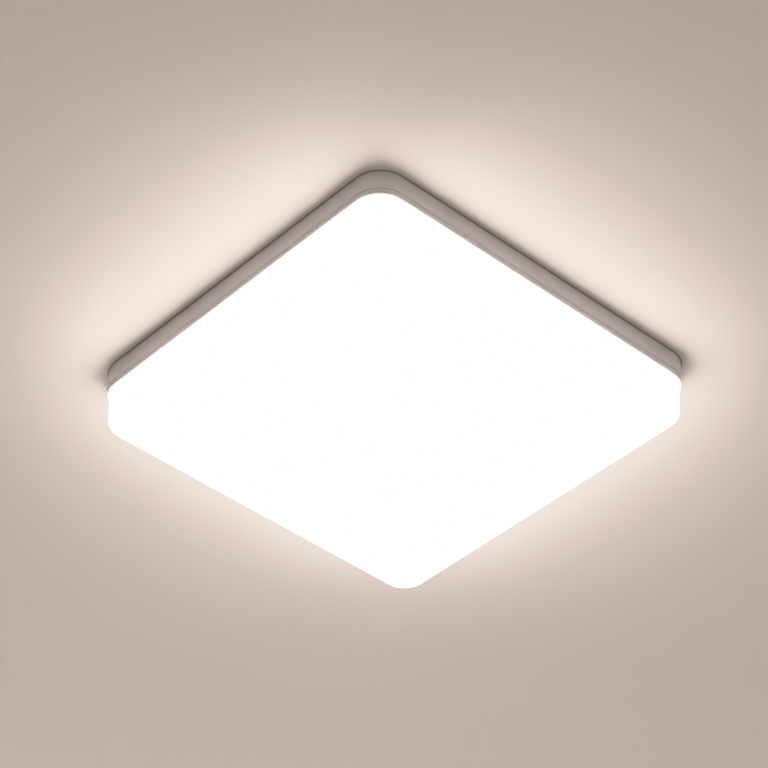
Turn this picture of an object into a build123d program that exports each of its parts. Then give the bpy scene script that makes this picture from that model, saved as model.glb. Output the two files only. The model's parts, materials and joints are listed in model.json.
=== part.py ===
from build123d import *
from math import cos, radians, tan
import os

os.makedirs("parts", exist_ok=True)

# Overall sizes in millimetres: the ceiling face is z = 0 and the lamp hangs below it
side = 300.0
corner_radius = 21.0
least_corner = 4.0
lamp_depth = 47.0
ring_depth = 20.5

# Sides of the small round pieces and holes that repeat
round_sides = 8

# Moulded ring: a wall whose inward flange lies between the back plate and the ceiling
base_wall = 2.5
flange_reach = 7.0
base_edge_bevel = 0.4
stake_radius = 1.2
stake_head_radius = 1.8
stake_head = 0.8
stake_fit = 0.1

# Back plate: a floor set back from the ceiling, with ribs that reach the ceiling
base_floor = 2.0
ceiling_recess = 2.0
back_fit = 0.1
rib_width = 2.0
rib_circle_radius = 62.0
rib_loop_inset = 32.0
rib_short_pitch = 50.0
rib_short_count = 5
slot_spacing = 190.0
slot_width = 5.0
slot_length = 14.0
slot_pad_margin = 4.0

# Pillars that stand on the back plate and take the screws
pillar_radius = 3.5
spigot_radius = 2.0
spigot_fit = 0.1
pilot_radius = 1.3
pilot_floor = 0.5

# Cable entry beside the terminal block, with its rubber grommet
cable_x = 28.0
cable_hole_radius = 8.0
cable_bore_radius = 4.5
cable_guard_wall = 2.5
grommet_flange = 2.5
grommet_top = 1.2
grommet_bottom = 1.5
grommet_fit = 0.1

# Seam and soft seal between base and cover
seam_gap = 0.5
seal_width = 1.2
seal_rebate = 1.2

# Cover frame: lip below the seam, web over the diffuser's rim, and a tongue inside the base wall
lip_height = 4.4
lip_round = 1.0
web_thickness = 1.2
tongue_wall = 1.6
tongue_height = 6.6
cover_clearance = 0.3

# Opal diffuser
diffuser_inset = 2.0
diffuser_wall = 2.0
diffuser_draft = 3.2
diffuser_round = 3.5
diffuser_fit = 0.15

# Spring leaves that grip the tongue, riveted to the back plate
clip_thickness = 0.5
clip_width = 12.0
clip_spacing = 150.0
clip_foot = 11.0
clip_lean = 4.0
clip_curl = 2.5
clip_bend = 0.5
clip_gap = 0.1

# Metal plate that carries the light strips
plate_stand = 12.0
plate_thickness = 1.2
plate_fold = 5.0
plate_clip_gap = 2.5
window_width = 96.0
window_length = 36.0
window_corner = 6.0
access_margin = 4.5
plate_screw_edge = 34.0
plate_screw_end = 18.0

# Light strips, emitters and lenses
strip_count = 4
leds_per_strip = 6
strip_width = 16.0
strip_thickness = 1.0
strip_margin = 19.0
chip_side = 3.5
chip_height = 0.8
lens_radius = 7.0
lens_crown_radius = 3.8
lens_rim = 1.4
lens_height = 5.0
pocket_gap = 0.6
led_end_gap = 2.4

# Rivets of the strips and the spring leaves
rivet_radius = 1.5
rivet_head_radius = 3.0
rivet_crown_radius = 2.2
rivet_head = 1.0
rivet_tail = 0.8
rivet_fit = 0.1

# Screws with a low tapered head
screw_head_radius = 3.0
screw_crown_radius = 2.2
screw_head = 2.0
screw_shank_radius = 1.25
screw_reach = 9.0
screw_hole_fit = 0.4

# Power supply in its own case
driver_length = 140.0
driver_width = 42.0
driver_height = 11.4
driver_corner = 3.0
driver_wall = 1.2
driver_lid_thickness = 1.4
driver_lid_rim = 1.0
driver_fit = 0.2
board_thickness = 1.6
board_gap = 0.6
board_stand = 1.0
board_stand_side = 4.0
ear_radius = 5.0
ear_thickness = 2.4
ear_stand = 5.0
ear_inset = 12.0

# Parts on the driver board
part_gap = 0.1
core_length = 18.0
core_width = 8.0
core_height = 5.6
winding_length = 12.0
winding_width = 15.0
winding_height = 5.0
transformer_x = 6.0
capacitor_radius = 2.8
capacitor_length = 14.0
capacitor_pitch = 6.4
capacitor_inset = 42.0
choke_radius = 4.5
choke_height = 5.4
choke_waist = 3.0
choke_flange = 1.0
choke_inset = 20.0
chip_size = 6.0
chip_thickness = 2.2
driver_chip_count = 3
chip_pitch = 11.0
chip_row_inset = 12.0
chip_row_y = 9.0
fuse_radius = 2.2
fuse_length = 14.0
fuse_cap = 3.0
fuse_waist = 1.9
fuse_inset = 22.0
fuse_y = -11.0

# Supply terminal with three poles and a release button for each
terminal_x = -16.0
terminal_length = 26.0
terminal_height = 11.4
terminal_corner = 1.0
pole_pitch = 9.0
pole_count = 3
terminal_end = 1.0
cavity_length = 12.0
cavity_width = 6.4
terminal_floor = 2.0
supply_hole_radius = 2.0
button_side = 4.2
button_flange_side = 5.6
button_flange = 1.2
button_proud = 1.6
button_gap = 0.3
button_seat_gap = 0.1
clamp_thickness = 0.5
clamp_width = 5.0
clamp_drop = 6.6

# Leads
lead_radius = 1.3
lead_bend = 3.0
lead_depth = 10.0
lead_fit = 0.1
lead_entry = 6.0
line_turn = 10.0
neutral_turn = 5.0
driver_lead_pitch = 8.0
output_radius = 0.9
output_bend = 2.0
output_depth_high = 9.2
output_depth_low = 11.8
output_pitch = 5.0
output_inset = 9.0
bushing_fit = 0.3
link_radius = 0.8
link_pitch = 3.6
connector_length = 9.0
connector_width = 7.0
connector_height = 4.0
connector_end = 6.0
connector_entry = 1.5

# Earth point on the plate
earth_x = -66.0
lug_thickness = 0.8
lug_radius = 4.0
lug_tail = 12.0
lug_barrel_radius = 1.9
lug_barrel_length = 6.0
nut_radius = 3.4
nut_sides = 6
nut_height = 2.4

# Heights worked out from the sizes above
floor_top = -ceiling_recess
floor_low = floor_top - base_floor
wall_low = -(ring_depth - lip_height - seam_gap)
web_top = wall_low - seam_gap
web_low = web_top - web_thickness
ring_low = -ring_depth
tongue_top = web_top + tongue_height
plate_top = floor_low - plate_stand
plate_low = plate_top - plate_thickness
strip_low = plate_low - strip_thickness
lead_z = -lead_depth

# Distances from the outer face, worked out from the sizes above
tongue_outer = base_wall + cover_clearance
tongue_inner = tongue_outer + tongue_wall
lip_inner = diffuser_inset - diffuser_fit
clip_leaf = tongue_inner + clip_gap + clip_thickness + clip_lean
plate_inset = clip_leaf + plate_clip_gap
plate_half = side / 2 - plate_inset

# Places of the strips and of what lies between them
strip_length = 2 * (plate_half - strip_margin)
led_end = connector_end + connector_length / 2 + led_end_gap + lens_radius
led_pitch = (strip_length - 2 * led_end) / (leds_per_strip - 1)
strip_pitch = strip_length / strip_count
strip_rows = [strip_pitch * (row - (strip_count - 1) / 2) for row in range(strip_count)]
led_columns = [led_pitch * (n - (leds_per_strip - 1) / 2) for n in range(leds_per_strip)]
rivet_columns = [-led_pitch, led_pitch]
plate_screw_x = plate_half - plate_screw_edge
plate_screw_far = plate_half - plate_screw_end
plate_screw_spots = [
    (x, y) for x in (-plate_screw_x, plate_screw_x) for y in (-strip_pitch, strip_pitch)
] + [(0, -plate_screw_far), (0, plate_screw_far)]
driver_y = strip_pitch
driver_end = driver_length / 2
ear_x = driver_end - ear_inset
output_x = strip_length / 2 - connector_end
output_x_low = output_x - output_pitch / 2
output_x_high = output_x + output_pitch / 2
output_y = driver_y + driver_width / 2 - output_inset
slot_spots = [(-slot_spacing / 2, 0), (slot_spacing / 2, 0)]
pole_rows = [pole_pitch * (n - (pole_count - 1) / 2) for n in range(pole_count)]
earth_row, line_row, neutral_row = pole_rows
ear_spots = [
    (-ear_x, driver_y - driver_width / 2 - ear_radius),
    (ear_x, driver_y + driver_width / 2 + ear_radius),
]
terminal_width = pole_count * pole_pitch + 2 * terminal_end
terminal_ear = (terminal_x, -terminal_width / 2 - ear_radius)
ear_top = floor_low - ear_stand
ear_low = ear_top - ear_thickness
ear_screw_reach = screw_reach - ear_stand + ear_thickness


def block(width, length, radius, low, high, x=0.0, y=0.0):
    """Upright block with rounded corners between two heights."""
    outline = RectangleRounded(width, length, radius)
    return Pos(x, y, low) * extrude(outline, amount=high - low)


def lamp_block(inset, low, high):
    """Block with the lamp's own outline, moved in by an inset."""
    width = side - 2 * inset
    return block(width, width, max(corner_radius - inset, least_corner), low, high)


def lamp_ring(outer_inset, inner_inset, low, high):
    """Ring between two insets of the lamp's outline."""
    return lamp_block(outer_inset, low, high) - lamp_block(inner_inset, low, high)


def box(width, length, low, high, x=0.0, y=0.0):
    """Upright box between two heights."""
    return Pos(x, y, (low + high) / 2) * Box(width, length, high - low)


def disc(radius, low, high, x=0.0, y=0.0):
    """Upright cylinder between two heights."""
    return Pos(x, y, (low + high) / 2) * Cylinder(radius, high - low)


def pin(radius, low, high, x=0.0, y=0.0):
    """Upright pin with few sides, inside its round outline."""
    return Pos(x, y, low) * extrude(RegularPolygon(radius, round_sides), amount=high - low)


def hole(radius, low, high, x=0.0, y=0.0):
    """Upright hole with few sides, outside its round outline."""
    outline = RegularPolygon(radius, round_sides, major_radius=False)
    return Pos(x, y, low) * extrude(outline, amount=high - low)


def pin_x(radius, start, end, y, z):
    """Pin with few sides along X."""
    return Pos(start, y, z) * Rot(0, 90, 0) * pin(radius, 0, end - start)


def hole_x(radius, start, end, y, z):
    """Hole with few sides along X."""
    return Pos(start, y, z) * Rot(0, 90, 0) * hole(radius, 0, end - start)


def tapered_pin(low_radius, high_radius, low, high, x=0.0, y=0.0):
    """Upright pin with few sides that changes its radius evenly."""
    ends = [(low_radius, low), (high_radius, high)]
    outlines = [Pos(x, y, z) * RegularPolygon(radius, round_sides) for radius, z in ends]
    return loft(outlines, ruled=True)


def slot(length, width, low, high, x=0.0, y=0.0):
    """Block with a slot's outline, along X."""
    return Pos(x, y, low) * extrude(SlotOverall(length, width), amount=high - low)


def group(solids):
    """Separate solids kept as one node."""
    return Compound(children=list(solids))


def eased(points, cut):
    """Route with every inner corner cut off at a distance."""
    spots = [Vector(*point) for point in points]
    route = spots[:1]
    for before, corner, after in zip(spots, spots[1:], spots[2:]):
        route.append(corner + (before - corner).normalized() * cut)
        route.append(corner + (after - corner).normalized() * cut)
    return route + spots[-1:]


def strip_metal(points, thickness, bend, width):
    """Strip of sheet bent along points in the XZ plane and centred on y = 0."""
    route = eased(points, bend)
    runs = [(end - start).normalized() for start, end in zip(route, route[1:])]
    left, right = [], []
    for spot, come, leave in zip(route, runs[:1] + runs, runs + runs[-1:]):
        mitre = (come + leave).normalized()
        reach = thickness / 2 / mitre.dot(come)
        across = Vector(-mitre.Y, mitre.X) * reach
        left.append(spot + across)
        right.append(spot - across)
    section = Plane.XZ * make_face(Polyline(*left, *reversed(right), close=True))
    return extrude(section, amount=width / 2, both=True)


def screw(x, y, seat, reach):
    """Screw driven upwards: the head lies below its seat and the shank above it."""
    head = tapered_pin(screw_crown_radius, screw_head_radius, seat - screw_head, seat, x, y)
    return head + pin(screw_shank_radius, seat, seat + reach, x, y)


def rounded_route(points, bend):
    """Wire path with straight runs and one bend radius at every corner."""
    spots = [Vector(*point) for point in points]
    edges = []
    start = spots[0]
    for before, corner, after in zip(spots, spots[1:], spots[2:]):
        come = (corner - before).normalized()
        leave = (after - corner).normalized()
        half_turn = radians(come.get_angle(leave)) / 2
        bend_start = corner - come * (bend * tan(half_turn))
        bend_end = corner + leave * (bend * tan(half_turn))
        inward = (leave - come).normalized()
        middle = corner + inward * (bend / cos(half_turn) - bend)
        edges.append(Edge.make_line(start, bend_start))
        edges.append(Edge.make_three_point_arc(bend_start, middle, bend_end))
        start = bend_end
    edges.append(Edge.make_line(start, spots[-1]))
    return Wire(edges)


def lead(points, radius, bend):
    """Insulated wire along a route, with few sides."""
    path = rounded_route(points, bend)
    section = RegularPolygon(radius, round_sides)
    return sweep(Plane(origin=path @ 0, z_dir=path % 0) * section, path=path)


def rivet(seat, top):
    """Rivet with a tapered head below its seat and a shank up to a height."""
    head = tapered_pin(rivet_crown_radius, rivet_head_radius, seat - rivet_head, seat)
    return head + pin(rivet_radius, seat, top)


def pillar(x, y, low):
    """Pillar for a screw, with a spigot in the back plate."""
    solid = pin(pillar_radius, low, floor_low, x, y)
    solid += pin(spigot_radius, floor_low, floor_top, x, y)
    return solid - hole(pilot_radius, low, floor_low - pilot_floor, x, y)


# Ring: a wall with a bevelled ceiling edge, a flange, a rebate for the seal and stakes for the plate
ring = lamp_block(0, wall_low, 0)
ring = chamfer(ring.edges().group_by(Axis.Z)[-1], base_edge_bevel)
ring -= lamp_block(base_wall, wall_low, floor_top)
ring -= lamp_block(flange_reach, floor_top, 0)
ring -= lamp_block(base_wall - seal_width, wall_low, wall_low + seal_rebate)
stake_place = side / 2 - (base_wall + flange_reach) / 2
stake_spots = [(stake_place, 0), (0, stake_place), (-stake_place, 0), (0, -stake_place)]
for x, y in stake_spots:
    ring += pin(stake_radius, floor_low, floor_top, x, y)
    ring += pin(stake_head_radius, floor_low - stake_head, floor_low, x, y)

# Ribs and pads on the ceiling side of the back plate
ribs = box(side, rib_width, floor_top, 0) + box(rib_width, side, floor_top, 0)
for angle in (45, -45):
    diagonal = Rot(0, 0, angle) * box(2 * side, rib_width, floor_top, 0)
    ribs += diagonal - disc(rib_circle_radius, floor_top, 0)
ribs += disc(rib_circle_radius + rib_width, floor_top, 0) - disc(rib_circle_radius, floor_top, 0)
ribs += lamp_ring(rib_loop_inset, rib_loop_inset + rib_width, floor_top, 0)
short_ribs = [
    box(side, rib_width, floor_top, 0, 0, rib_short_pitch * (n - (rib_short_count - 1) / 2))
    for n in range(rib_short_count)
]
for turn in (0, 90):
    for rib in short_ribs:
        ribs += Rot(0, 0, turn) * rib - lamp_block(rib_loop_inset, floor_top, 0)
ribs &= lamp_block(flange_reach + back_fit, floor_top, 0)
guard_inner = cable_hole_radius + grommet_flange + grommet_fit
for x, y in slot_spots:
    pad_length = slot_length + 2 * slot_pad_margin
    ribs += slot(pad_length, slot_width + 2 * slot_pad_margin, floor_top, 0, x, y)
ribs += disc(guard_inner + cable_guard_wall, floor_top, 0, cable_x)
ribs -= disc(guard_inner, floor_top, 0, cable_x)

# Spring leaves: a foot on the back plate, a leaf that leans out to the tongue, and a curl at its end
leaf_x = side / 2 - clip_leaf
bow_x = side / 2 - tongue_inner - clip_gap - clip_thickness / 2
foot_z = floor_low - clip_thickness / 2
bow_z = (tongue_top + wall_low) / 2
rivet_x = leaf_x - clip_foot / 2
clip = strip_metal(
    [
        (leaf_x - clip_foot, foot_z),
        (leaf_x, foot_z),
        (bow_x, bow_z),
        (bow_x - clip_curl, bow_z - clip_curl),
    ],
    clip_thickness,
    clip_bend,
    clip_width,
)
rivet_hole = hole(rivet_radius + rivet_fit, floor_low - clip_thickness, floor_top, rivet_x)
clip -= rivet_hole
clip_rivet = Pos(rivet_x, 0, 0) * rivet(floor_low - clip_thickness, floor_top)
clip_places = [
    Rot(0, 0, turn) * Pos(0, along, 0)
    for turn in (0, 90, 180, 270)
    for along in (-clip_spacing / 2, clip_spacing / 2)
]
cover_clips = group(place * clip for place in clip_places)
clip_rivets = group(place * clip_rivet for place in clip_places)

# Pillars for the plate's screws and, shorter, for the fixing ears
short_spots = ear_spots + [terminal_ear]
pillars = group(
    [pillar(x, y, plate_top) for x, y in plate_screw_spots]
    + [pillar(x, y, ear_top) for x, y in short_spots]
)

# Back plate with its ribs, then every hole
back = lamp_block(base_wall + back_fit, floor_low, floor_top) + ribs
for x, y in plate_screw_spots + short_spots:
    back -= hole(spigot_radius + spigot_fit, floor_low, floor_top, x, y)
for x, y in stake_spots:
    back -= hole(stake_radius + stake_fit, floor_low, floor_top, x, y)
for place in clip_places:
    back -= place * rivet_hole
for x, y in slot_spots:
    back -= slot(slot_length, slot_width, floor_low, 0, x, y)
back -= disc(cable_hole_radius, floor_low, floor_top, cable_x)

# Rubber grommet in the cable entry
grommet_radius = cable_hole_radius + grommet_flange
grommet = disc(cable_hole_radius - grommet_fit, floor_low, floor_top, cable_x)
grommet += disc(grommet_radius, floor_top, floor_top + grommet_top, cable_x)
grommet += disc(grommet_radius, floor_low - grommet_bottom, floor_low, cable_x)
grommet -= disc(cable_bore_radius, floor_low - grommet_bottom, 0, cable_x)

# Soft seal in the rebate, resting on the cover frame's web
seal = lamp_ring(base_wall - seal_width, base_wall, web_top, wall_low + seal_rebate)

# Cover frame
frame = lamp_block(0, ring_low, web_top)
frame = fillet(frame.edges().group_by(Axis.Z)[0], lip_round)
frame -= lamp_block(lip_inner, ring_low, web_low)
frame -= lamp_block(tongue_inner, web_low, web_top)
frame += lamp_ring(tongue_outer, tongue_inner, web_top, tongue_top)


def drafted_block(inset, top, low, edge_round):
    """Block with drafted sides and a rounded lower edge."""
    width = side - 2 * inset
    outline = RectangleRounded(width, width, corner_radius - inset)
    solid = Pos(0, 0, top) * extrude(outline, amount=low - top, taper=diffuser_draft)
    return fillet(solid.faces().sort_by(Axis.Z)[0].edges(), edge_round)


# Opal diffuser
diffuser = drafted_block(diffuser_inset, web_low, -lamp_depth, diffuser_round)
diffuser -= drafted_block(
    diffuser_inset + diffuser_wall,
    web_low,
    -lamp_depth + diffuser_wall,
    diffuser_round - diffuser_wall,
)

# Plate with folded edges, a wiring window and access to the mounting slots
plate = lamp_block(plate_inset, plate_low, plate_top + plate_fold)
plate -= lamp_block(plate_inset + plate_thickness, plate_top, plate_top + plate_fold)
plate -= block(window_width, window_length, window_corner, plate_low, plate_top)
for x, y in slot_spots:
    access_length = slot_length + 2 * access_margin
    plate -= slot(access_length, slot_width + 2 * access_margin, plate_low, plate_top, x, y)
for x, y in plate_screw_spots + [(earth_x, earth_row)]:
    plate -= hole(screw_shank_radius + screw_hole_fit, plate_low, plate_top, x, y)
for x in (output_x_low, output_x_high):
    plate -= hole(output_radius + bushing_fit, plate_low, plate_top, x, output_y)
rivet_spots = [(x, y) for x in rivet_columns for y in strip_rows]
for x, y in rivet_spots:
    plate -= hole(rivet_radius + rivet_fit, plate_low, plate_top, x, y)
plate_screws = group(screw(x, y, plate_low, screw_reach) for x, y in plate_screw_spots)

# Light strips with their rivets
strips = []
for y in strip_rows:
    strip = box(strip_length, strip_width, strip_low, plate_low, 0, y)
    for x in rivet_columns:
        strip -= hole(rivet_radius + rivet_fit, strip_low, plate_low, x, y)
    strips.append(strip)
strip_rivet = rivet(strip_low, plate_top + rivet_tail)
strip_rivets = group(Pos(x, y, 0) * strip_rivet for x, y in rivet_spots)

# Emitters, each under a round lens with a pocket for it
led_spots = [(x, y) for x in led_columns for y in strip_rows]
chip_low = strip_low - chip_height
led_chips = group(box(chip_side, chip_side, chip_low, strip_low, x, y) for x, y in led_spots)
lens = pin(lens_radius, -lens_rim, 0)
lens += tapered_pin(lens_crown_radius, lens_radius, -lens_height, -lens_rim)
pocket_side = chip_side + 2 * pocket_gap
lens -= box(pocket_side, pocket_side, -chip_height - pocket_gap, 0)
led_lenses = group(Pos(x, y, strip_low) * lens for x, y in led_spots)

# Connectors at one end of every strip, and the wires that link them
connector_x = connector_end - strip_length / 2
connector_low = strip_low - connector_height
link_z = strip_low - connector_height / 2
link_columns = (connector_x - link_pitch / 2, connector_x + link_pitch / 2)


def connector(x, y, wire_spots):
    """Connector on a strip with entries along Y for wires of the given radius."""
    solid = box(connector_length, connector_width, connector_low, strip_low, x, y)
    for wire_x, radius in wire_spots:
        reach = radius + lead_fit
        solid -= box(2 * reach, connector_width, link_z - reach, link_z + reach, wire_x, y)
    return solid


link_holes = [(x, link_radius) for x in link_columns]
strip_connectors = group(connector(connector_x, y, link_holes) for y in strip_rows)


def link_wires(x):
    """Straight jumper wires from each connector to the next."""
    reach = connector_width / 2 - connector_entry
    return group(
        lead([(x, start + reach, link_z), (x, end - reach, link_z)], link_radius, 0)
        for start, end in zip(strip_rows, strip_rows[1:])
    )


link_wires_red = link_wires(link_columns[0])
link_wires_black = link_wires(link_columns[1])

# Driver case: a tray whose open side faces the plate, with two fixing ears
driver_low = floor_low - driver_height
lid_top = driver_low + driver_lid_thickness
case_ceiling = floor_low - driver_wall
inner_length = driver_length - 2 * driver_wall
inner_width = driver_width - 2 * driver_wall
inner_corner = driver_corner - driver_wall
board_length = inner_length - 2 * board_gap
board_width = inner_width - 2 * board_gap
board_top = case_ceiling - board_stand
board_low = board_top - board_thickness
driver_case = block(driver_length, driver_width, driver_corner, lid_top, floor_low, 0, driver_y)
driver_case -= block(inner_length, inner_width, inner_corner, lid_top, case_ceiling, 0, driver_y)
stand_x = (board_length - board_stand_side) / 2
stand_y = (board_width - board_stand_side) / 2
for x in (-stand_x, stand_x):
    for y in (driver_y - stand_y, driver_y + stand_y):
        driver_case += box(board_stand_side, board_stand_side, board_top, case_ceiling, x, y)
for x, y in ear_spots:
    ear = disc(ear_radius, ear_low, ear_top, x, y)
    reach = driver_y - y
    side_y = y + (ear_radius if reach > 0 else -ear_radius) / 2
    ear += box(2 * ear_radius, ear_radius, ear_low, ear_top, x, side_y)
    driver_case += ear - hole(screw_shank_radius + screw_hole_fit, ear_low, ear_top, x, y)
lead_rows = (driver_y - driver_lead_pitch / 2, driver_y + driver_lead_pitch / 2)
for y in lead_rows:
    driver_case -= hole_x(lead_radius + lead_fit, -driver_end, -driver_end + driver_wall, y, lead_z)
for depth in (output_depth_high, output_depth_low):
    wall_start = driver_end - driver_wall
    driver_case -= hole_x(output_radius + lead_fit, wall_start, driver_end, output_y, -depth)
driver_lid = block(driver_length, driver_width, driver_corner, driver_low, lid_top, 0, driver_y)
rim_length = inner_length - 2 * driver_fit
rim_width = inner_width - 2 * driver_fit
rim_corner = inner_corner - driver_fit
rim_high = lid_top + driver_lid_rim
lid_rim = block(rim_length, rim_width, rim_corner, lid_top, rim_high, 0, driver_y)
rim_inner_length = rim_length - 2 * driver_wall
rim_inner_width = rim_width - 2 * driver_wall
lid_rim -= box(rim_inner_length, rim_inner_width, lid_top, rim_high, 0, driver_y)
driver_lid += lid_rim
driver_screws = group(screw(x, y, ear_low, ear_screw_reach) for x, y in ear_spots)

# Driver board and the parts on it
driver_board = block(board_length, board_width, driver_wall, board_low, board_top, 0, driver_y)
part_high = board_low - part_gap
core_low = part_high - core_height
winding_low = part_high - winding_height
driver_transformer = box(core_length, core_width, core_low, part_high, transformer_x, driver_y)
driver_transformer += block(
    winding_length, winding_width, driver_wall, winding_low, part_high, transformer_x, driver_y
)
capacitor_z = part_high - capacitor_radius
capacitor_x = capacitor_inset - board_length / 2
capacitor_rows = [driver_y + capacitor_pitch * n for n in (-1, 0, 1)]
capacitor_end = capacitor_x + capacitor_length
driver_capacitors = group(
    pin_x(capacitor_radius, capacitor_x, capacitor_end, y, capacitor_z) for y in capacitor_rows
)
choke_low = part_high - choke_height
choke_x = choke_inset - board_length / 2
driver_choke = pin(choke_waist, choke_low, part_high, choke_x, driver_y)
driver_choke += pin(choke_radius, choke_low, choke_low + choke_flange, choke_x, driver_y)
driver_choke += pin(choke_radius, part_high - choke_flange, part_high, choke_x, driver_y)
chip_row_x = board_length / 2 - chip_row_inset
chip_columns = [chip_row_x - chip_pitch * n for n in range(driver_chip_count)]
driver_chips = group(
    box(chip_size, chip_size, part_high - chip_thickness, part_high, x, driver_y + chip_row_y)
    for x in chip_columns
)
fuse_z = part_high - fuse_radius
fuse_x = fuse_inset - board_length / 2
fuse_end = fuse_x + fuse_length
fuse_row = driver_y + fuse_y
driver_fuse = pin_x(fuse_waist, fuse_x, fuse_end, fuse_row, fuse_z)
driver_fuse += pin_x(fuse_radius, fuse_x, fuse_x + fuse_cap, fuse_row, fuse_z)
driver_fuse += pin_x(fuse_radius, fuse_end - fuse_cap, fuse_end, fuse_row, fuse_z)

# Terminal block: a cavity, two wire entries and a button opening for each pole
terminal_low = floor_low - terminal_height
terminal_left = terminal_x - terminal_length / 2
terminal_right = terminal_x + terminal_length / 2
cavity_low = terminal_low + terminal_floor
cavity_left = terminal_x - cavity_length / 2
cavity_right = terminal_x + cavity_length / 2
terminal = block(
    terminal_length, terminal_width, terminal_corner, terminal_low, floor_low, terminal_x
)
opening = button_side + 2 * button_gap
for y in pole_rows:
    terminal -= box(cavity_length, cavity_width, cavity_low, floor_low, terminal_x, y)
    terminal -= box(opening, opening, terminal_low, cavity_low, terminal_x, y)
    terminal -= hole_x(supply_hole_radius, cavity_right, terminal_right, y, lead_z)
    terminal -= hole_x(lead_radius + lead_fit, terminal_left, cavity_left, y, lead_z)
ear_side_y = -(terminal_width + ear_radius) / 2
ear = disc(ear_radius, ear_low, ear_top, *terminal_ear)
ear += box(2 * ear_radius, ear_radius, ear_low, ear_top, terminal_x, ear_side_y)
terminal += ear - hole(screw_shank_radius + screw_hole_fit, ear_low, ear_top, *terminal_ear)
terminal_screw = screw(*terminal_ear, ear_low, ear_screw_reach)

# Release buttons, held in by a flange inside the block
flange_low = cavity_low + button_seat_gap
button_low = terminal_low - button_proud
button = box(button_side, button_side, button_low, flange_low, terminal_x)
button += box(
    button_flange_side, button_flange_side, flange_low, flange_low + button_flange, terminal_x
)
buttons = [Pos(0, y, 0) * button for y in pole_rows]

# Clamp springs: a leg on the cavity wall, a bridge under the back plate and a leaf to the button
clamp_top = floor_low - clamp_thickness
clamp_left = cavity_left + clamp_thickness
clamp_right = cavity_right - clamp_thickness
clamp = strip_metal(
    [
        (clamp_left, clamp_top - clamp_drop / 2),
        (clamp_left, clamp_top),
        (clamp_right, clamp_top),
        (terminal_x, clamp_top - clamp_drop),
    ],
    clamp_thickness,
    clip_bend,
    clamp_width,
)
terminal_clamps = group(Pos(0, y, 0) * clamp for y in pole_rows)

# Leads from the terminal to the driver
lead_start = terminal_left + lead_entry
line_turn_x = -driver_end - line_turn
neutral_turn_x = -driver_end - neutral_turn
lead_end = -driver_end + lead_entry / 2
line_wire = lead(
    [
        (lead_start, line_row, lead_z),
        (line_turn_x, line_row, lead_z),
        (line_turn_x, lead_rows[1], lead_z),
        (lead_end, lead_rows[1], lead_z),
    ],
    lead_radius,
    lead_bend,
)
neutral_wire = lead(
    [
        (lead_start, neutral_row, lead_z),
        (neutral_turn_x, neutral_row, lead_z),
        (neutral_turn_x, lead_rows[0], lead_z),
        (lead_end, lead_rows[0], lead_z),
    ],
    lead_radius,
    lead_bend,
)

# Earth lug on the plate, with its lead, screw and nut
barrel_z = plate_top + lug_barrel_radius
barrel_start = earth_x + lug_tail - lug_barrel_length
barrel_end = earth_x + lug_tail
earth_lug = pin(lug_radius, plate_top, plate_top + lug_thickness, earth_x, earth_row)
earth_lug += box(
    lug_tail, lug_radius, plate_top, plate_top + lug_thickness, earth_x + lug_tail / 2, earth_row
)
earth_lug += pin_x(lug_barrel_radius, barrel_start, barrel_end, earth_row, barrel_z)
earth_lug -= hole_x(lead_radius + lead_fit, barrel_start, barrel_end, earth_row, barrel_z)
lug_hole = screw_shank_radius + screw_hole_fit
earth_lug -= hole(lug_hole, plate_top, plate_top + lug_thickness, earth_x, earth_row)
nut_low = plate_top + lug_thickness
nut = extrude(RegularPolygon(nut_radius, nut_sides), amount=nut_height)
earth_screw = screw(earth_x, earth_row, plate_low, plate_thickness + lug_thickness + nut_height)
earth_screw += Pos(earth_x, earth_row, nut_low) * nut
earth_wire = lead(
    [
        (lead_start, earth_row, lead_z),
        (terminal_left - lead_entry, earth_row, lead_z),
        (barrel_end + lead_bend, earth_row, barrel_z),
        (barrel_start, earth_row, barrel_z),
    ],
    lead_radius,
    lead_bend,
)

# Leads from the driver, down through the plate and along to the connector of the strip beside it
output_row = strip_rows[-1]
output_end = output_row - connector_width / 2 + connector_entry
output_start = driver_end - lead_entry
output_holes = [(x, output_radius) for x in (output_x_low, output_x_high)]
output_connector = connector(output_x, output_row, output_holes)


def output_wire(x, depth):
    """Lead from the driver's end, through its hole in the plate, to the connector."""
    return lead(
        [
            (output_start, output_y, -depth),
            (x, output_y, -depth),
            (x, output_y, link_z),
            (x, output_end, link_z),
        ],
        output_radius,
        output_bend,
    )


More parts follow.
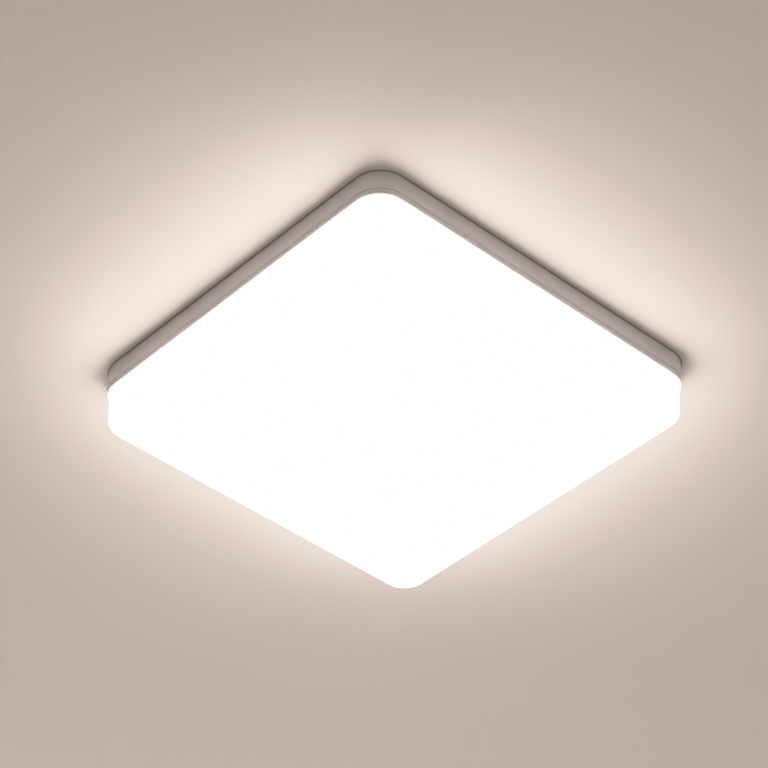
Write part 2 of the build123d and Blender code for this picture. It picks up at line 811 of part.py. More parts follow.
nodes = {
    "base_ring": ring,
    "back_plate": back,
    "pillars": pillars,
    "cable_grommet": grommet,
    "seal_ring": seal,
    "cover_clips": cover_clips,
    "clip_rivets": clip_rivets,
    "cover_frame": frame,
    "diffuser": diffuser,
    "led_plate": plate,
    "plate_screws": plate_screws,
    "led_strip_1": strips[0],
    "led_strip_2": strips[1],
    "led_strip_3": strips[2],
    "led_strip_4": strips[3],
    "strip_rivets": strip_rivets,
    "led_chips": led_chips,
    "led_lenses": led_lenses,
    "strip_connectors": strip_connectors,
    "link_wires_red": link_wires_red,
    "link_wires_black": link_wires_black,
    "driver_case": driver_case,
    "driver_lid": driver_lid,
    "driver_board": driver_board,
    "driver_transformer": driver_transformer,
    "driver_capacitors": driver_capacitors,
    "driver_choke": driver_choke,
    "driver_chips": driver_chips,
    "driver_fuse": driver_fuse,
    "driver_screws": driver_screws,
    "terminal_block": terminal,
    "terminal_clamps": terminal_clamps,
    "terminal_screw": terminal_screw,
    "terminal_button_earth": buttons[0],
    "terminal_button_line": buttons[1],
    "terminal_button_neutral": buttons[2],
    "line_wire": line_wire,
    "neutral_wire": neutral_wire,
    "earth_wire": earth_wire,
    "earth_lug": earth_lug,
    "earth_screw": earth_screw,
    "output_wire_red": output_wire(output_x_high, output_depth_high),
    "output_wire_black": output_wire(output_x_low, output_depth_low),
    "output_connector": output_connector,
}
for name, shape in nodes.items():
    export_step(shape, f"parts/{name}.step")
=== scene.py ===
import json
import math

import bmesh
import bpy
from mathutils import Matrix, Quaternion, Vector


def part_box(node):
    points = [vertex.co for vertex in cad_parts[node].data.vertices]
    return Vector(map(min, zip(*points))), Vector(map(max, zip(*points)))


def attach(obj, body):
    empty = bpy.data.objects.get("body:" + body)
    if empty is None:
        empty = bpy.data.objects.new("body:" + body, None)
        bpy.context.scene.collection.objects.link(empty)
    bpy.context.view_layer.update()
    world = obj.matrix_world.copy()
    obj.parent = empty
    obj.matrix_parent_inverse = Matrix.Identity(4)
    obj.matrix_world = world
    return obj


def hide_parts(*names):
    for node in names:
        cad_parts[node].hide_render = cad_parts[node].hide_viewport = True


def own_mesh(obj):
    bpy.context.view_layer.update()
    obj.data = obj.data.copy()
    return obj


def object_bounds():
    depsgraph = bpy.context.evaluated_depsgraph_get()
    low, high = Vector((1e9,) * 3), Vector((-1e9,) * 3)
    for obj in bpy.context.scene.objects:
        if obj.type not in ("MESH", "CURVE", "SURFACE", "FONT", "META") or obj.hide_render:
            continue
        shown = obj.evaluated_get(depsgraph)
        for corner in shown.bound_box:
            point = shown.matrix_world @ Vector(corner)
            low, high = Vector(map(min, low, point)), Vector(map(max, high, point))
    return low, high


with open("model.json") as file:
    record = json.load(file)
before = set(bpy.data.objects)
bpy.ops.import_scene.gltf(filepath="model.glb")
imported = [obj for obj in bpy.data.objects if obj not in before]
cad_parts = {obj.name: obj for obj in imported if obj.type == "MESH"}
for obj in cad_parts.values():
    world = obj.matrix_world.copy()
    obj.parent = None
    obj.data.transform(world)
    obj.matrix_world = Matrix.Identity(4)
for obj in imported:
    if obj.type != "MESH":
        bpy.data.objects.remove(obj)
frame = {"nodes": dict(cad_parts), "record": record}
cad_low, cad_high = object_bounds()
nodes = frame["nodes"]

# Camera, fitted to the lamp's outline in the photograph; angles in degrees
IMAGE_SIDE = 768
FOCAL_PIXELS = 2856.44
SENSOR_WIDTH = 36.0
CAMERA_DISTANCE = 2.0413
CAMERA_PITCH = 39.935
CAMERA_YAW = 48.562
CAMERA_ROLL = 1.1668
CAMERA_TARGET = Vector((-0.01557, 0.00493, 0.0))

# Ceiling that the lamp hangs from, with an opening over the lamp's back and a painted shadow line round the
# ring
CEILING_SIZE = 4.0
CEILING_GAP = 0.0001
RING_CORNER = 0.021
CEILING_HOLE_INSET = 0.0006
CEILING_HOLE_STEPS = 8
CEILING_COLOUR = (0.62, 0.568, 0.530, 1.0)
# Painted shadow: a dark strip on the ceiling along the ring, for the shade in the gap where they meet
SHADOW_LINE_WIDTH = 0.0017
SHADOW_LINE_COLOUR = (0.36, 0.325, 0.303, 1.0)

# Pale floor well below the ceiling, and the even light of the room
FLOOR_DEPTH = 2.4
FLOOR_SIZE = 400.0
FLOOR_COLOUR = (0.94, 0.94, 0.94, 1.0)
AMBIENT_COLOUR = (0.432, 0.391, 0.379, 1.0)
AMBIENT_STRENGTH = 1.0

# Soft light from above the ceiling, for the lamp's back
KEY_PLACE = Vector((-0.5, 0.6, 2.2))
KEY_SIZE = 1.0
KEY_POWER = 36.0

# Weak soft light from the right-hand side and below, for that side of the ring
FILL_PLACE = Vector((2.6, -0.3, -1.2))
FILL_SIZE = 0.9
FILL_POWER = 4.0

# Soft light from the far side and below, that brightens the ceiling there
LIFT_PLACE = Vector((-2.3, 1.2, -1.5))
LIFT_SIZE = 1.4
LIFT_POWER = 34.0

# Response of the picture: light in the scene and what it shows as, for red, green and blue
RESPONSE_WHITE = 2.6
RED_RESPONSE = [(0.3, 0.3), (0.6, 0.6), (0.85, 0.77), (1.42, 0.913), (1.9, 0.97)]
GREEN_RESPONSE = [(0.3, 0.3), (0.6, 0.585), (0.9, 0.74), (1.2, 0.823), (1.9, 0.95)]
BLUE_RESPONSE = [(0.3, 0.3), (0.55, 0.535), (0.8, 0.67), (1.08, 0.768), (1.9, 0.94)]

# Lenses over the emitters: radius, depth and rounding of each corner, from the emitter's pocket to the dimple
LENS_PROFILE = [
    (0.0, 0.0014, 0.0), (0.0031, 0.0014, 0.0), (0.0031, 0.0, 0.0), (0.0070, 0.0, 0.0),
    (0.0070, 0.0014, 0.0004), (0.0060, 0.0014, 0.0004), (0.0054, 0.0050, 0.0032),
    (0.0020, 0.0050, 0.0030), (0.0, 0.0043, 0.0),
]

# Pan-head screws: radius, depth below the seat and rounding of each corner, from the tip to the crown
SCREW_SHANK = 0.0090
SCREW_HEAD = 0.0020
SCREW_PROFILE = [
    (0.0, -SCREW_SHANK, 0.0), (0.00085, -SCREW_SHANK + 0.0003, 0.0), (0.00125, -SCREW_SHANK + 0.0016, 0.0),
    (0.00125, 0.0, 0.0), (0.0030, 0.0, 0.0), (0.0030, SCREW_HEAD, 0.0012), (0.0, SCREW_HEAD, 0.0),
]
RECESS_SPAN = 0.0034
RECESS_WIDTH = 0.0008
RECESS_DEPTH = 0.0012

# Rivets: radius, depth below the seat and rounding of each corner, from the crown to the shank
RIVET_HEAD = 0.0010
RIVET_SHANK_RADIUS = 0.0014
RIVET_PROFILE = [
    (0.0, RIVET_HEAD, 0.0), (0.0016, RIVET_HEAD, 0.0020), (0.0028, 0.0004, 0.0004), (0.0028, 0.0, 0.0),
    (RIVET_SHANK_RADIUS, 0.0, 0.0),
]

# Poles of the terminal
POLES = ("earth", "line", "neutral")

# Round marks that ejector pins leave on the back plate's ceiling side: radius, height and rounding
EJECTOR_PROFILE = [
    (0.0, 0.0, 0.0), (0.0030, 0.0, 0.0), (0.0030, 0.00016, 0.00006), (0.0026, 0.00016, 0.00006),
    (0.0025, 0.00004, 0.0), (0.0, 0.00004, 0.0),
]
EJECTOR_PITCH = 0.056
EJECTOR_ROWS = 4

# Grommet: radius, height over the back plate's upper face and rounding of each corner of its section
GROMMET_RISE = 0.0012
GROMMET_PROFILE = [
    (0.0045, -0.0035, 0.0003), (0.0105, -0.0035, 0.0006), (0.0105, -0.0020, 0.0004), (0.0079, -0.0020, 0.0),
    (0.0079, 0.0, 0.0), (0.0105, 0.0, 0.0004), (0.0105, GROMMET_RISE, 0.0005), (0.0085, GROMMET_RISE, 0.0002),
    (0.0083, 0.0007, 0.0002), (0.0072, 0.0007, 0.0002), (0.0070, 0.0003, 0.0002), (0.0060, 0.0003, 0.0002),
    (0.0058, -0.0001, 0.0002), (0.0045, -0.0001, 0.0003),
]

# Fineness of turned pieces, the distance at which points are one, and the angle of an edge that stays sharp
LATHE_STEPS = 40
ARC_STEPS = 5
WELD = 1e-6
SHARP_ANGLE = 40.0

# Part of a noise's range that is used, and how much wider a plastic's change of tone is than its grain
NOISE_LOW = 0.3
NOISE_HIGH = 0.7
TONE_SPREAD = 60.0

# How far the roughness of plastic and metal varies to either side, and the tone of metal's fine marks
PLASTIC_SMOOTHER = 0.06
PLASTIC_ROUGHER = 0.08
METAL_SMOOTHER = 0.08
METAL_ROUGHER = 0.10
METAL_DARK = 0.88
METAL_LIGHT = 1.06

# Matt paint of ceiling and floor
PAINT_VARIATION = 0.015
CEILING_ROUGHNESS = 0.95
CEILING_SPECULAR = 0.15
FLOOR_ROUGHNESS = 0.8

# Warm grey of the ring, with its streaks
RING_COLOUR = (0.550, 0.533, 0.530, 1.0)
RING_VARIATION = 0.05
RING_ROUGHNESS = (0.28, 0.42)
RING_SPECULAR = 0.65
STREAK_DARK = (0.93, 0.93, 0.93, 1.0)
STREAK_LIGHT = (1.05, 1.05, 1.05, 1.0)

# Opal plastic of the shade, and its light
OPAL_DARK = (0.92, 0.92, 0.91, 1.0)
OPAL_LIGHT = (0.96, 0.96, 0.95, 1.0)
OPAL_ROUGHNESS = (0.32, 0.42)
SHADE_STRENGTH = 14.0
SHADE_COLOUR = (1.0, 0.92, 0.87, 1.0)
SHADE_FAINTEST = 0.98
SHADE_INNER_COLOUR = (0.045, 0.044, 0.042, 1.0)

# Emitters and the lenses over them
PHOSPHOR_DARK = (0.86, 0.62, 0.14, 1.0)
PHOSPHOR_LIGHT = (0.95, 0.76, 0.24, 1.0)
EMITTER_WARM = (1.0, 0.90, 0.66, 1.0)
EMITTER_COOL = (1.0, 0.95, 0.80, 1.0)
EMITTER_STRENGTH = 4.0
LENS_DARK = (0.93, 0.94, 0.95, 1.0)
LENS_LIGHT = (0.98, 0.985, 0.99, 1.0)
LENS_ROUGHNESS = (0.03, 0.09)
LENS_CLEARNESS = 0.75
LENS_INDEX = 1.49
# Painted glow of the lenses, for the emitters' light shining through them
LENS_PAINTED_GLOW = (1.0, 0.97, 0.90, 1.0)
LENS_PAINTED_GLOW_STRENGTH = 0.35

# Plain plastics and metals, by material slot
PLASTICS = {
    "pale_moulding": dict(colour=(0.63, 0.60, 0.588, 1.0), roughness=0.48, variation=0.03),
    "black_rubber": dict(colour=(0.022, 0.021, 0.021, 1.0), roughness=0.72, variation=0.15),
    "soft_seal": dict(colour=(0.06, 0.057, 0.056, 1.0), roughness=0.7, variation=0.12),
    "white_plate": dict(
        colour=(0.70, 0.70, 0.69, 1.0), roughness=0.42, variation=0.02, grain=700.0, relief=0.15,
    ),
    "strip_board": dict(colour=(0.93, 0.93, 0.92, 1.0), roughness=0.3, variation=0.02),
    "nylon": dict(colour=(0.80, 0.79, 0.75, 1.0), roughness=0.4, variation=0.03),
    "red_insulation": dict(colour=(0.52, 0.02, 0.018, 1.0), roughness=0.35, variation=0.08),
    "black_insulation": dict(colour=(0.02, 0.02, 0.02, 1.0), roughness=0.35, variation=0.15),
    "brown_insulation": dict(colour=(0.17, 0.065, 0.025, 1.0), roughness=0.35, variation=0.1),
    "blue_insulation": dict(colour=(0.03, 0.12, 0.45, 1.0), roughness=0.35, variation=0.1),
    "green_yellow_insulation": dict(colour=(0.28, 0.5, 0.05, 1.0), roughness=0.35, variation=0.1),
    "driver_shell": dict(colour=(0.80, 0.80, 0.78, 1.0), roughness=0.45, variation=0.02),
    "circuit_board": dict(colour=(0.03, 0.19, 0.06, 1.0), roughness=0.3, variation=0.12),
    "ferrite": dict(colour=(0.05, 0.05, 0.052, 1.0), roughness=0.5, variation=0.2),
    "capacitor_sleeve": dict(colour=(0.02, 0.022, 0.04, 1.0), roughness=0.25, variation=0.1),
    "chip_body": dict(colour=(0.025, 0.025, 0.025, 1.0), roughness=0.5, variation=0.12),
    "fuse_body": dict(colour=(0.80, 0.78, 0.72, 1.0), roughness=0.3, variation=0.04),
    "terminal_body": dict(colour=(0.74, 0.74, 0.72, 1.0), roughness=0.4, variation=0.03),
    "button_orange": dict(colour=(0.80, 0.22, 0.02, 1.0), roughness=0.35, variation=0.06),
}
METALS = {
    "spring_steel": dict(colour=(0.56, 0.56, 0.57, 1.0), roughness=0.28, grain=60.0, grain_along=900.0),
    "zinc_screw": dict(colour=(0.66, 0.66, 0.68, 1.0), roughness=0.32),
    "tinned_copper": dict(colour=(0.74, 0.71, 0.66, 1.0), roughness=0.35),
}


def new_material(name):
    """Node material with one principled shader."""
    material = bpy.data.materials.new(name)
    material.use_nodes = True
    tree = material.node_tree
    return material, tree, tree.nodes["Principled BSDF"]


def feed(tree, socket, value):
    """Gives a socket another node's output or a plain value."""
    if isinstance(value, bpy.types.NodeSocket):
        tree.links.new(value, socket)
    else:
        socket.default_value = value


def noise(tree, scale, along=None, detail=3.0, roughness=0.55):
    """Noise value over the object in metres; the scale along its Z axis may differ."""
    coordinates = tree.nodes.new("ShaderNodeTexCoord")
    mapping = tree.nodes.new("ShaderNodeMapping")
    mapping.inputs["Scale"].default_value = (scale, scale, along or scale)
    feed(tree, mapping.inputs["Vector"], coordinates.outputs["Object"])
    texture = tree.nodes.new("ShaderNodeTexNoise")
    texture.inputs["Scale"].default_value = 1.0
    texture.inputs["Detail"].default_value = detail
    texture.inputs["Roughness"].default_value = roughness
    feed(tree, texture.inputs["Vector"], mapping.outputs["Vector"])
    return texture.outputs["Fac"]


def ramp(tree, value, low, high):
    """Colour between two colours, by a noise value."""
    node = tree.nodes.new("ShaderNodeValToRGB")
    first, last = node.color_ramp.elements
    first.position, last.position = NOISE_LOW, NOISE_HIGH
    first.color, last.color = low, high
    feed(tree, node.inputs["Fac"], value)
    return node.outputs["Color"]


def spread(tree, value, low, high):
    """Maps a noise value onto a range."""
    node = tree.nodes.new("ShaderNodeMapRange")
    node.inputs["From Min"].default_value = NOISE_LOW
    node.inputs["From Max"].default_value = NOISE_HIGH
    node.inputs["To Min"].default_value = low
    node.inputs["To Max"].default_value = high
    feed(tree, node.inputs["Value"], value)
    return node.outputs["Result"]


def bump(tree, shader, height, strength, distance):
    """Fine relief in the surface's shading."""
    node = tree.nodes.new("ShaderNodeBump")
    node.inputs["Strength"].default_value = strength
    node.inputs["Distance"].default_value = distance
    feed(tree, node.inputs["Height"], height)
    feed(tree, shader.inputs["Normal"], node.outputs["Normal"])


def blended(tree, factor, first, second, blend_type="MIX"):
    """Two colours mixed by a factor; each may be an output or a plain value."""
    node = tree.nodes.new("ShaderNodeMix")
    node.data_type = "RGBA"
    node.blend_type = blend_type
    sockets = [socket for socket in node.inputs if socket.enabled]
    for socket, value in zip(sockets, (factor, first, second)):
        feed(tree, socket, value)
    return next(socket for socket in node.outputs if socket.enabled)


def vector_math(tree, operation, first, second):
    """Vector operation on two values; each may be an output or a plain vector."""
    node = tree.nodes.new("ShaderNodeVectorMath")
    node.operation = operation
    feed(tree, node.inputs[0], first)
    feed(tree, node.inputs[1], second)
    return node


def faces_outwards(tree, centre):
    """One where a hollow shell's surface faces away from its middle, and zero on its inner side."""
    coordinates = tree.nodes.new("ShaderNodeTexCoord")
    outward = vector_math(tree, "SUBTRACT", coordinates.outputs["Object"], centre)
    facing = vector_math(tree, "DOT_PRODUCT", outward.outputs["Vector"], coordinates.outputs["Normal"])
    node = tree.nodes.new("ShaderNodeMath")
    node.operation = "GREATER_THAN"
    feed(tree, node.inputs[0], facing.outputs["Value"])
    feed(tree, node.inputs[1], 0.0)
    return node.outputs["Value"]


def scaled(colour, factor):
    """A colour made lighter or darker."""
    return tuple(min(channel * factor, 1.0) for channel in colour[:3]) + (1.0,)


def tones(tree, value, colour, variation):
    """A colour that a noise value makes a little darker or lighter."""
    return ramp(tree, value, scaled(colour, 1 - variation), scaled(colour, 1 + variation))


def plastic(name, colour, roughness, variation, grain=900.0, relief=0.08):
    """Moulded plastic with a fine grain and a slight change of tone."""
    material, tree, shader = new_material(name)
    tone = noise(tree, scale=grain / TONE_SPREAD)
    fine = noise(tree, scale=grain, detail=5.0)
    feed(tree, shader.inputs["Base Color"], tones(tree, tone, colour, variation))
    varied = spread(tree, fine, roughness - PLASTIC_SMOOTHER, roughness + PLASTIC_ROUGHER)
    feed(tree, shader.inputs["Roughness"], varied)
    bump(tree, shader, fine, strength=relief, distance=0.0004)
    return material


def metal(name, colour, roughness, grain=300.0, grain_along=None):
    """Bright metal with fine marks."""
    material, tree, shader = new_material(name)
    fine = noise(tree, scale=grain, along=grain_along, detail=4.0)
    marked = ramp(tree, fine, scaled(colour, METAL_DARK), scaled(colour, METAL_LIGHT))
    feed(tree, shader.inputs["Base Color"], marked)
    varied = spread(tree, fine, roughness - METAL_SMOOTHER, roughness + METAL_ROUGHER)
    feed(tree, shader.inputs["Roughness"], varied)
    shader.inputs["Metallic"].default_value = 1.0
    bump(tree, shader, fine, strength=0.05, distance=0.0003)
    return material


def grey_moulding():
    """Warm grey satin plastic of base and cover frame, with fine streaks along the ring."""
    material, tree, shader = new_material("grey_moulding")
    streaks = noise(tree, scale=9.0, along=1400.0, detail=4.0, roughness=0.6)
    tone = noise(tree, scale=14.0)
    grain = noise(tree, scale=1500.0)
    tinted = tones(tree, tone, RING_COLOUR, RING_VARIATION)
    marks = ramp(tree, streaks, STREAK_DARK, STREAK_LIGHT)
    feed(tree, shader.inputs["Base Color"], blended(tree, 1.0, tinted, marks, "MULTIPLY"))
    feed(tree, shader.inputs["Roughness"], spread(tree, streaks, *RING_ROUGHNESS))
    shader.inputs["Specular IOR Level"].default_value = RING_SPECULAR
    bump(tree, shader, grain, strength=0.10, distance=0.0003)
    return material


def opal_shell():
    """Opal plastic that glows on its outer side and faintly on its inner side."""
    material, tree, shader = new_material("opal_shell")
    cloud = noise(tree, scale=12.0, detail=2.0)
    fine = noise(tree, scale=1200.0)
    feed(tree, shader.inputs["Base Color"], ramp(tree, cloud, OPAL_DARK, OPAL_LIGHT))
    feed(tree, shader.inputs["Roughness"], spread(tree, fine, *OPAL_ROUGHNESS))
    low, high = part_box("diffuser")
    outside = faces_outwards(tree, (low + high) / 2)
    glow = ramp(tree, cloud, scaled(SHADE_COLOUR, SHADE_FAINTEST), SHADE_COLOUR)
    feed(tree, shader.inputs["Emission Color"], blended(tree, outside, SHADE_INNER_COLOUR, glow))
    shader.inputs["Emission Strength"].default_value = SHADE_STRENGTH
    bump(tree, shader, fine, strength=0.04, distance=0.0003)
    return material


def emitter():
    """Yellow phosphor of a lit emitter."""
    material, tree, shader = new_material("emitter")
    fine = noise(tree, scale=2500.0)
    feed(tree, shader.inputs["Base Color"], ramp(tree, fine, PHOSPHOR_DARK, PHOSPHOR_LIGHT))
    feed(tree, shader.inputs["Emission Color"], ramp(tree, fine, EMITTER_WARM, EMITTER_COOL))
    shader.inputs["Emission Strength"].default_value = EMITTER_STRENGTH
    return material


def clear_lens():
    """Clear moulded lens with a painted glow, which stands in for the light of the emitter in its pocket
    shining through it.
    """
    material, tree, shader = new_material("clear_lens")
    fine = noise(tree, scale=900.0)
    feed(tree, shader.inputs["Base Color"], ramp(tree, fine, LENS_DARK, LENS_LIGHT))
    feed(tree, shader.inputs["Roughness"], spread(tree, fine, *LENS_ROUGHNESS))
    shader.inputs["Transmission Weight"].default_value = LENS_CLEARNESS
    shader.inputs["IOR"].default_value = LENS_INDEX
    # Painted glow: the lens itself shines, in place of the emitter's light passing through it
    shader.inputs["Emission Color"].default_value = LENS_PAINTED_GLOW
    shader.inputs["Emission Strength"].default_value = LENS_PAINTED_GLOW_STRENGTH
    return material


def ceiling_paint(name, colour):
    """Matt ceiling paint, seen from the room only: from above the ceiling is left open."""
    material, tree, shader = new_material(name)
    roller = noise(tree, scale=220.0, detail=4.0)
    tone = noise(tree, scale=1.4)
    feed(tree, shader.inputs["Base Color"], tones(tree, tone, colour, PAINT_VARIATION))
    shader.inputs["Roughness"].default_value = CEILING_ROUGHNESS
    shader.inputs["Specular IOR Level"].default_value = CEILING_SPECULAR
    bump(tree, shader, roller, strength=0.03, distance=0.0005)
    clear = tree.nodes.new("ShaderNodeBsdfTransparent")
    geometry = tree.nodes.new("ShaderNodeNewGeometry")
    mix = tree.nodes.new("ShaderNodeMixShader")
    feed(tree, mix.inputs["Fac"], geometry.outputs["Backfacing"])
    feed(tree, mix.inputs[1], shader.outputs["BSDF"])
    feed(tree, mix.inputs[2], clear.outputs["BSDF"])
    feed(tree, tree.nodes["Material Output"].inputs["Surface"], mix.outputs["Shader"])
    return material


def floor_paint():
    """Plain pale floor paint."""
    material, tree, shader = new_material("floor_paint")
    tone = noise(tree, scale=2.0)
    feed(tree, shader.inputs["Base Color"], tones(tree, tone, FLOOR_COLOUR, PAINT_VARIATION))
    shader.inputs["Roughness"].default_value = FLOOR_ROUGHNESS
    return material


def stage_sheet(name, points, faces, material):
    """Sheet of the stage from points and faces."""
    mesh = bpy.data.meshes.new(name)
    mesh.from_pydata(points, [], faces)
    mesh.materials.append(material)
    sheet = bpy.data.objects.new(name, mesh)
    bpy.context.scene.collection.objects.link(sheet)


def rounded_square(half, radius, steps):
    """Points round a square with rounded corners."""
    points = []
    for turn in range(4):
        for step in range(steps + 1):
            angle = math.radians(90 * (turn + step / steps))
            centre = Matrix.Rotation(math.radians(90 * turn), 2) @ Vector((half - radius, half - radius))
            points.append(centre + radius * Vector((math.cos(angle), math.sin(angle))))
    return points


def add_ceiling():
    """Ceiling with an opening over the lamp, and a painted shadow line, a dark strip where the ring meets it.
    """
    half = cad_high.x - CEILING_HOLE_INSET
    corner = RING_CORNER - CEILING_HOLE_INSET
    inner = rounded_square(half, corner, CEILING_HOLE_STEPS)
    shadow_line_edge = rounded_square(half + SHADOW_LINE_WIDTH, corner + SHADOW_LINE_WIDTH, CEILING_HOLE_STEPS)
    reach = CEILING_SIZE / 2
    outer = [point * reach / max(abs(point.x), abs(point.y)) for point in shadow_line_edge]
    count = len(inner)
    faces = [(n, (n + 1) % count, count + (n + 1) % count, count + n) for n in range(count)]
    # The dark strip next to the opening is painted shadow, for the shade where the ring meets the ceiling
    sheets = (("painted_shadow_line", inner, shadow_line_edge, SHADOW_LINE_COLOUR), ("ceiling", shadow_line_edge, outer, CEILING_COLOUR))
    for name, near, far, colour in sheets:
        points = [(point.x, point.y, CEILING_GAP) for point in near + far]
        stage_sheet(name, points, faces, ceiling_paint(name, colour))


def add_floor():
    """Plain pale floor, far below."""
    half = FLOOR_SIZE / 2
    corners = ((-half, -half), (half, -half), (half, half), (-half, half))
    stage_sheet("floor", [(x, y, -FLOOR_DEPTH) for x, y in corners], [(0, 1, 2, 3)], floor_paint())


def add_camera():
    """Camera below the lamp, looking up at it."""
    yaw = math.radians(CAMERA_YAW)
    pitch = math.radians(CAMERA_PITCH)
    level = math.cos(pitch)
    back = Vector((math.sin(yaw) * level, -math.cos(yaw) * level, -math.sin(pitch)))
    data = bpy.data.cameras.new("view")
    data.sensor_width = SENSOR_WIDTH
    data.lens = SENSOR_WIDTH * FOCAL_PIXELS / IMAGE_SIDE
    camera = bpy.data.objects.new("view", data)
    camera.location = CAMERA_TARGET + back * CAMERA_DISTANCE
    camera.rotation_mode = "QUATERNION"
    roll = Quaternion((0, 0, 1), math.radians(CAMERA_ROLL))
    camera.rotation_quaternion = (-back).to_track_quat("-Z", "Y") @ roll
    bpy.context.scene.collection.objects.link(camera)
    bpy.context.scene.camera = camera


def soft_light(name, place, size, power):
    """Square soft light that faces the lamp."""
    data = bpy.data.lights.new(name, "AREA")
    data.size = size
    data.energy = power
    light = bpy.data.objects.new(name, data)
    light.location = place
    light.rotation_mode = "QUATERNION"
    light.rotation_quaternion = (-place).to_track_quat("-Z", "Y")
    bpy.context.scene.collection.objects.link(light)


def add_light():
    """Even light of the room, and the soft lights."""
    world = bpy.data.worlds.new("room")
    world.use_nodes = True
    background = world.node_tree.nodes["Background"]
    background.inputs["Color"].default_value = AMBIENT_COLOUR
    background.inputs["Strength"].default_value = AMBIENT_STRENGTH
    bpy.context.scene.world = world
    soft_light("key", KEY_PLACE, KEY_SIZE, KEY_POWER)
    soft_light("fill", FILL_PLACE, FILL_SIZE, FILL_POWER)
    soft_light("lift", LIFT_PLACE, LIFT_SIZE, LIFT_POWER)


def add_response():
    """Plain colours with a soft shoulder, so that the glow beside the shade keeps its tone."""
    settings = bpy.context.scene.view_settings
    settings.view_transform = "Standard"
    settings.use_curve_mapping = True
    mapping = settings.curve_mapping
    mapping.extend = "HORIZONTAL"
    mapping.white_level = (RESPONSE_WHITE,) * 3
    for curve, response in zip(mapping.curves, (RED_RESPONSE, GREEN_RESPONSE, BLUE_RESPONSE)):
        for light, shown in response:
            curve.points.new(light / RESPONSE_WHITE, shown)
    mapping.update()


def add_piece(name, points, faces, slot, *replaced):
    """Piece from points and faces, with the finish of a material slot."""
    mesh = bpy.data.meshes.new(name)
    mesh.from_pydata(points, [], faces)
    return finish_piece(name, mesh, slot, *replaced)


def finish_piece(name, mesh, slot, *replaced):
    """Object for a mesh with outward faces, smooth, dressed and riding on the base."""
    shape = bmesh.new()
    shape.from_mesh(mesh)
    bmesh.ops.recalc_face_normals(shape, faces=shape.faces)
    shape.to_mesh(mesh)
    shape.free()
    mesh.materials.clear()
    mesh.materials.append(MATERIALS[slot])
    mesh.shade_smooth()
    mesh.set_sharp_from_angle(angle=math.radians(SHARP_ANGLE))
    piece = bpy.data.objects.new(name, mesh)
    bpy.context.scene.collection.objects.link(piece)
    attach(piece, "base")
    if replaced:
        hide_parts(*replaced)
    return piece


def rounded_profile(corners):
    """Points of a profile, with an arc in place of every corner that has a rounding."""
    points = []
    for n, (radius, height, rounding) in enumerate(corners):
        corner = Vector((radius, height))
        if not rounding:
            points.append(corner)
            continue
        back = (Vector(corners[n - 1][:2]) - corner).normalized()
        ahead = (Vector(corners[(n + 1) % len(corners)][:2]) - corner).normalized()
        half_angle = back.angle(ahead) / 2
        centre = corner + (back + ahead).normalized() * rounding / math.sin(half_angle)
        touch = rounding / math.tan(half_angle)
        start, end = corner + back * touch - centre, corner + ahead * touch - centre
        for step in range(ARC_STEPS + 1):
            spoke = start.lerp(end, step / ARC_STEPS).normalized()
            points.append(centre + spoke * rounding)
    return points


def lathe(corners, closed=False):
    """Points and faces of a profile turned round the Z axis; a radius of zero is one point."""
    points, faces, rings = [], [], []
    for radius, height in rounded_profile(corners):
        count = LATHE_STEPS if radius > 0 else 1
        rings.append(range(len(points), len(points) + count))
        for step in range(count):
            angle = math.tau * step / count
            points.append(Vector((radius * math.cos(angle), radius * math.sin(angle), height)))
    pairs = list(zip(rings, rings[1:])) + ([(rings[-1], rings[0])] if closed else [])
    for lower, upper in pairs:
        for step in range(LATHE_STEPS):
            turn = (step + 1) % LATHE_STEPS
            near = lower[step % len(lower)], lower[turn % len(lower)]
            far = upper[turn % len(upper)], upper[step % len(upper)]
            faces.append(tuple(dict.fromkeys(near + far)))
    return points, faces


def hung(corners):
    """Profile with its depths turned into heights below zero."""
    return [(radius, -depth, rounding) for radius, depth, rounding in corners]


def repeated(points, faces, places):
    """One shape set at many places."""
    all_points = [point + place for place in places for point in points]
    count = len(points)
    all_faces = [tuple(n * count + corner for corner in face) for n in range(len(places)) for face in faces]
    return all_points, all_faces


def islands(node):
    """Lowest and highest corner of each separate solid of a CAD node."""
    shape = bmesh.new()
    shape.from_mesh(nodes[node].data)
    bmesh.ops.remove_doubles(shape, verts=shape.verts, dist=WELD)
    left = set(shape.verts)
    found = []
    while left:
        reached = [left.pop()]
        for vertex in reached:
            near = {edge.other_vert(vertex) for edge in vertex.link_edges} & left
            left -= near
            reached += near
        spots = [vertex.co for vertex in reached]
        low = Vector(min(spot[axis] for spot in spots) for axis in range(3))
        high = Vector(max(spot[axis] for spot in spots) for axis in range(3))
        found.append((low, high))
    shape.free()
    return sorted(found, key=lambda corners: tuple(corners[0]))


def middles(node, height):
    """Middle of each separate solid of a CAD node, set at one height."""
    return [Vector(((low.x + high.x) / 2, (low.y + high.y) / 2, height)) for low, high in islands(node)]


def add_lenses():
    """Clear lenses with a dimple, over every emitter."""
    places = middles("led_chips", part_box("led_lenses")[1].z)
    points, faces = lathe(hung(LENS_PROFILE))
    add_piece("lenses", *repeated(points, faces, places), "clear_lens", "led_lenses")


def cross_recess():
    """Cutter for the cross recess of a screw."""
    cutter = bmesh.new()
    for length, width in ((RECESS_SPAN, RECESS_WIDTH), (RECESS_WIDTH, RECESS_SPAN)):
        size = Matrix.Diagonal((length, width, 2 * RECESS_DEPTH, 1.0))
        bmesh.ops.create_cube(cutter, matrix=Matrix.Translation((0, 0, -SCREW_HEAD)) @ size)
    mesh = bpy.data.meshes.new("recess")
    cutter.to_mesh(mesh)
    cutter.free()
    return bpy.data.objects.new("recess", mesh)


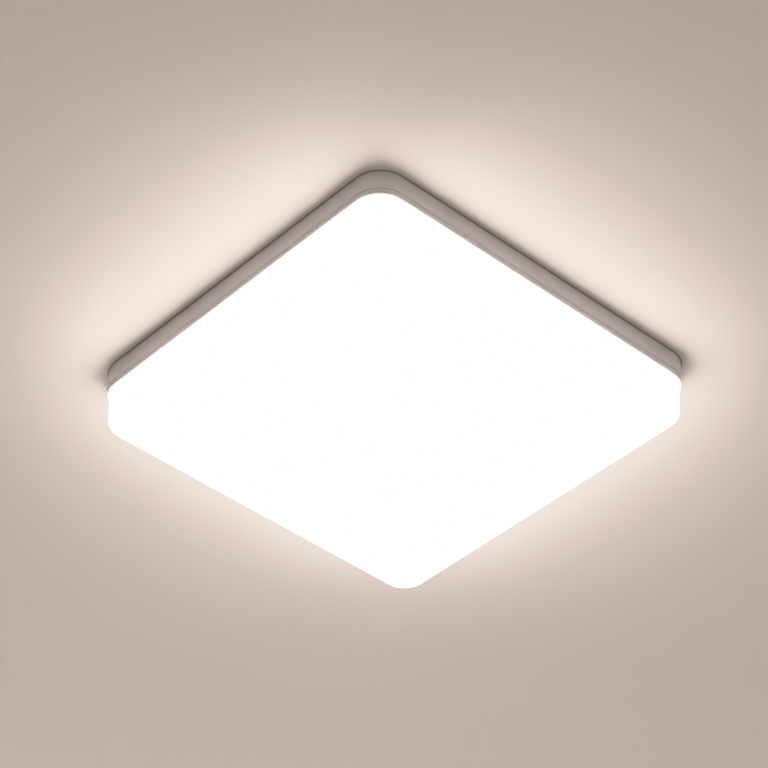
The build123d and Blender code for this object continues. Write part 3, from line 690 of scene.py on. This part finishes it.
def screw_shape():
    """Points and faces of a pan-head screw with a cross recess."""
    points, faces = lathe(hung(SCREW_PROFILE))
    mesh = bpy.data.meshes.new("screw")
    mesh.from_pydata(points, [], faces)
    screw = bpy.data.objects.new("screw", mesh)
    cutter = cross_recess()
    for item in (screw, cutter):
        bpy.context.scene.collection.objects.link(item)
    cut = screw.modifiers.new("recess", "BOOLEAN")
    cut.object = cutter
    cut.use_self = True
    made = bpy.data.meshes.new_from_object(screw.evaluated_get(bpy.context.evaluated_depsgraph_get()))
    shape = [vertex.co.copy() for vertex in made.vertices], [tuple(face.vertices) for face in made.polygons]
    for item in (screw, cutter):
        bpy.data.objects.remove(item)
    return shape


def add_screws():
    """Screws of the light plate."""
    points, faces = screw_shape()
    places = middles("plate_screws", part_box("led_plate")[0].z)
    add_piece("plate_screw_set", *repeated(points, faces, places), "zinc_screw", "plate_screws")


def add_rivets(node, slot):
    """Round rivets with domed heads, in the places of a CAD node's rivets."""
    low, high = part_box(node)
    seat = low.z + RIVET_HEAD
    shank_end = [(RIVET_SHANK_RADIUS, seat - high.z, 0.0), (0.0, seat - high.z, 0.0)]
    points, faces = lathe(hung(RIVET_PROFILE + shank_end))
    add_piece(node + "_round", *repeated(points, faces, middles(node, seat)), slot, node)


def add_clamp_springs():
    """Clamp springs of the terminal, cut into one piece under each button."""
    for pole in POLES:
        low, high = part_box("terminal_button_" + pole)
        shape = bmesh.new()
        shape.from_mesh(nodes["terminal_clamps"].data)
        others = [vertex for vertex in shape.verts if not low.y < vertex.co.y < high.y]
        bmesh.ops.delete(shape, geom=others, context="VERTS")
        mesh = bpy.data.meshes.new("clamp_spring_" + pole)
        shape.to_mesh(mesh)
        shape.free()
        spring = finish_piece("clamp_spring_" + pole, mesh, "spring_steel", "terminal_clamps")
        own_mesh(spring)


def add_grommet():
    """Rubber grommet with a stepped membrane."""
    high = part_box("cable_grommet")[1]
    points, faces = lathe(GROMMET_PROFILE, closed=True)
    place = middles("cable_grommet", high.z - GROMMET_RISE)
    add_piece("grommet", *repeated(points, faces, place), "black_rubber", "cable_grommet")


def add_ejector_marks():
    """Ejector-pin marks between the ribs of the back plate, but none on its diagonal ribs."""
    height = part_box("pillars")[1].z
    line = [EJECTOR_PITCH * (n - (EJECTOR_ROWS - 1) / 2) for n in range(EJECTOR_ROWS)]
    far = max(line)
    places = [Vector((x, y, height)) for x in line for y in line if min(abs(x), abs(y)) < far]
    points, faces = lathe(EJECTOR_PROFILE)
    add_piece("ejector_marks", *repeated(points, faces, places), "pale_moulding")


def dress_nodes():
    """Gives every CAD node the finish of its material slot."""
    for row in frame["record"]["subparts"]:
        mesh = nodes[row["node"]].data
        mesh.materials.clear()
        mesh.materials.append(MATERIALS[row["material_slot"]])


MATERIALS = {
    "grey_moulding": grey_moulding(),
    "opal_shell": opal_shell(),
    "emitter": emitter(),
    "clear_lens": clear_lens(),
}
MATERIALS.update((slot, plastic(slot, **finish)) for slot, finish in PLASTICS.items())
MATERIALS.update((slot, metal(slot, **finish)) for slot, finish in METALS.items())

dress_nodes()
add_lenses()
add_screws()
add_rivets("strip_rivets", "nylon")
add_rivets("clip_rivets", "zinc_screw")
add_clamp_springs()
add_grommet()
add_ejector_marks()
add_ceiling()
add_floor()
add_camera()
add_light()
add_response()
